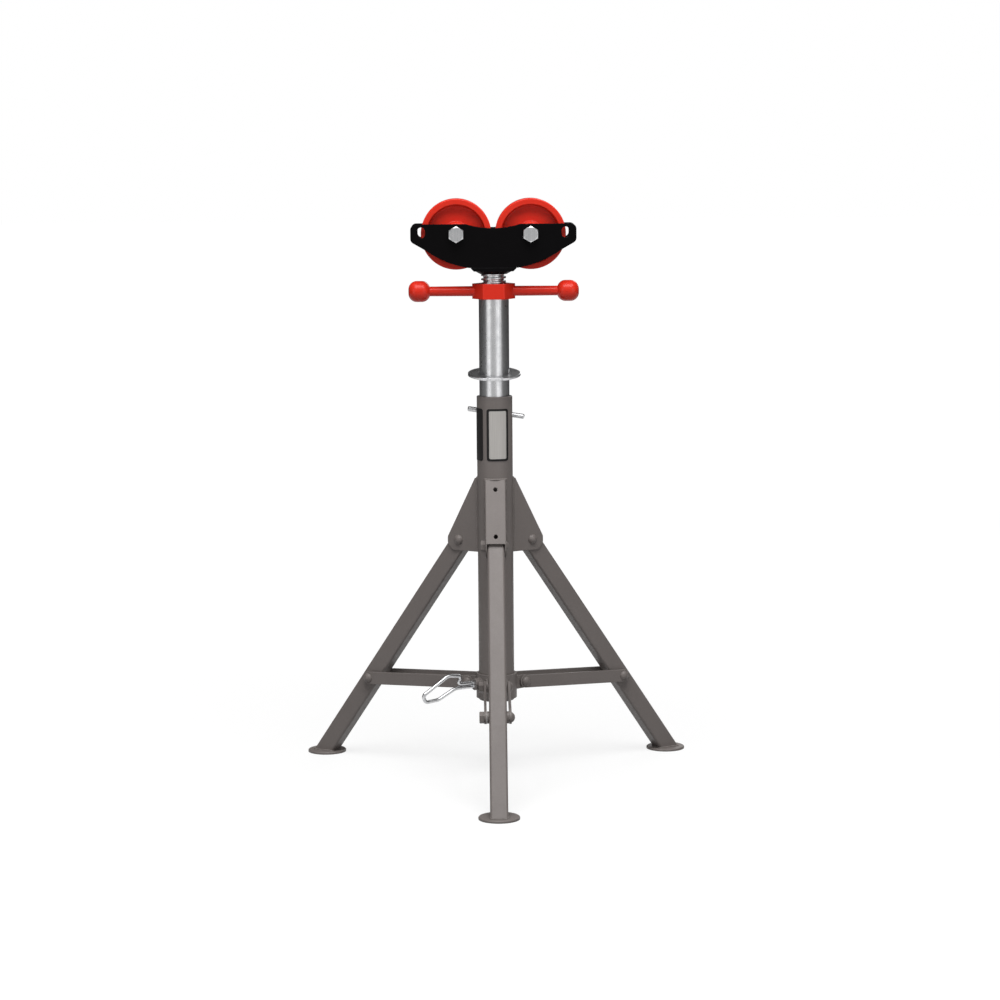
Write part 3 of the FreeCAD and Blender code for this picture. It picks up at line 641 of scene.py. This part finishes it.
def make_threads():
    """Cut threads that stand in for the plain lifting screw and clamping screw."""
    low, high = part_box("lift_screw")
    screw = cut_thread(high.x, *lift_thread, low.z, high.z)
    put_in_place(screw, "lift_screw_thread", "head", "zinc_plate")
    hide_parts("lift_screw")
    low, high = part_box("clamp_screw")
    clamp = cut_thread(high.x, *clamp_thread, low.y, high.y)
    clamp.rotation_euler.x = math.radians(-90)
    clamp.location.z = clamp_height
    pick_out(clamp)
    bpy.ops.object.transform_apply(location=True, rotation=True, scale=False)
    put_in_place(clamp, "clamp_screw_thread", "clamp_screw", "zinc_plate")
    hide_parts("clamp_screw")


make_threads()
make_mast_welds()
make_collar_welds()
make_foot_welds()
make_head_welds()


# Studio


def seen_white(tree, strength, otherwise=0.0):
    """Strength for rays that show the background: camera, glossy and transmission rays."""
    shown = add_node(tree, "ShaderNodeLightPath", out="Is Camera Ray")
    for ray in ("Is Glossy Ray", "Is Transmission Ray"):
        other = add_node(tree, "ShaderNodeLightPath", out=ray)
        shown = add_node(tree, "ShaderNodeMath", {0: shown, 1: other}, operation="MAXIMUM")
    return add_node(tree, "ShaderNodeMapRange",
                    {"Value": shown, "To Min": otherwise, "To Max": strength})


def make_floor():
    """White floor that takes a faint shadow near the stand and fades into the room."""
    floor = begin(bpy.ops.mesh.primitive_plane_add, size=2 * floor_half_width)
    floor.name = "floor"
    material, tree, matt, place = new_material("white_studio_floor")
    matt.inputs["Base Color"].default_value = linear("#7c7c7c")
    matt.inputs["Roughness"].default_value = 0.9
    matt.inputs["Specular IOR Level"].default_value = 0.0
    away = add_node(tree, "ShaderNodeVectorMath", {0: place}, "Value", operation="LENGTH")
    level = add_node(tree, "ShaderNodeMapRange",
                     {"Value": away, "From Max": far_floor,
                      "To Min": floor_glow, "To Max": far_floor_glow})
    glow = add_node(tree, "ShaderNodeEmission", {"Strength": seen_white(tree, level)})
    both = add_node(tree, "ShaderNodeAddShader", {0: matt.outputs["BSDF"], 1: glow})
    tree.links.new(both, tree.nodes["Material Output"].inputs["Surface"])
    floor.data.materials.append(material)


def make_walls():
    """Dark walls and ceiling that only show in reflections, a little lighter towards the camera."""
    walls = begin(bpy.ops.mesh.primitive_cylinder_add, vertices=wall_sides, radius=wall_radius,
                  depth=2 * wall_height, end_fill_type="NGON")
    walls.name = "dark_walls"
    bpy.ops.object.mode_set(mode="EDIT")
    bpy.ops.mesh.select_all(action="SELECT")
    bpy.ops.mesh.bisect(plane_co=(0, 0, 0), plane_no=(0, 0, -1), clear_outer=True)
    bpy.ops.object.mode_set(mode="OBJECT")
    material, tree, _, place = new_material("dark_studio_wall")
    along = add_node(tree, "ShaderNodeSeparateXYZ", {"Vector": place}, "Y")
    light = add_node(tree, "ShaderNodeMapRange",
                     {"Value": along, "From Min": wall_fade_begin * wall_radius,
                      "From Max": wall_fade_end * wall_radius,
                      "To Min": wall_front_light, "To Max": wall_back_light})
    glow = add_node(tree, "ShaderNodeEmission", {"Strength": light})
    tree.links.new(glow, tree.nodes["Material Output"].inputs["Surface"])
    walls.data.materials.append(material)
    walls.visible_camera = False
    walls.visible_diffuse = False
    walls.visible_transmission = False
    walls.visible_shadow = False


def make_room():
    """White all round for the camera and for reflections, and a weak light on everything else."""
    world = bpy.data.worlds.new("white_room")
    world.use_nodes = True
    tree = world.node_tree
    background = tree.nodes["Background"]
    background.inputs["Color"].default_value = linear("#ffffff")
    tree.links.new(seen_white(tree, room_white, room_light), background.inputs["Strength"])
    bpy.context.scene.world = world


def make_lights():
    """Softboxes that face the stand, out of the camera's sight."""
    for name, (centre, size, power) in softboxes.items():
        light = bpy.data.lights.new(name, "AREA")
        light.shape = "RECTANGLE"
        light.size, light.size_y = size
        light.energy = power
        lamp = bpy.data.objects.new(name, light)
        bpy.context.scene.collection.objects.link(lamp)
        lamp.location = centre
        lamp.rotation_euler = (light_aim - Vector(centre)).to_track_quat("-Z", "Y").to_euler()
        lamp.visible_camera = False


def make_camera():
    """The camera, turned from looking straight down: pitched up, turned, and rolled."""
    lens = bpy.data.cameras.new("camera")
    lens.sensor_width = sensor_width
    lens.lens = camera_lens
    camera = bpy.data.objects.new("camera", lens)
    bpy.context.scene.collection.objects.link(camera)
    turn = Matrix.Rotation(math.radians(camera_turn), 4, "Z")
    pitch = Matrix.Rotation(math.radians(90 - camera_pitch_down), 4, "X")
    roll = Matrix.Rotation(math.radians(camera_roll), 4, "Z")
    camera.matrix_world = Matrix.Translation(camera_place) @ turn @ pitch @ roll
    bpy.context.scene.camera = camera


make_floor()
make_walls()
make_room()
make_lights()
make_camera()
bpy.context.scene.view_settings.view_transform = "Standard"
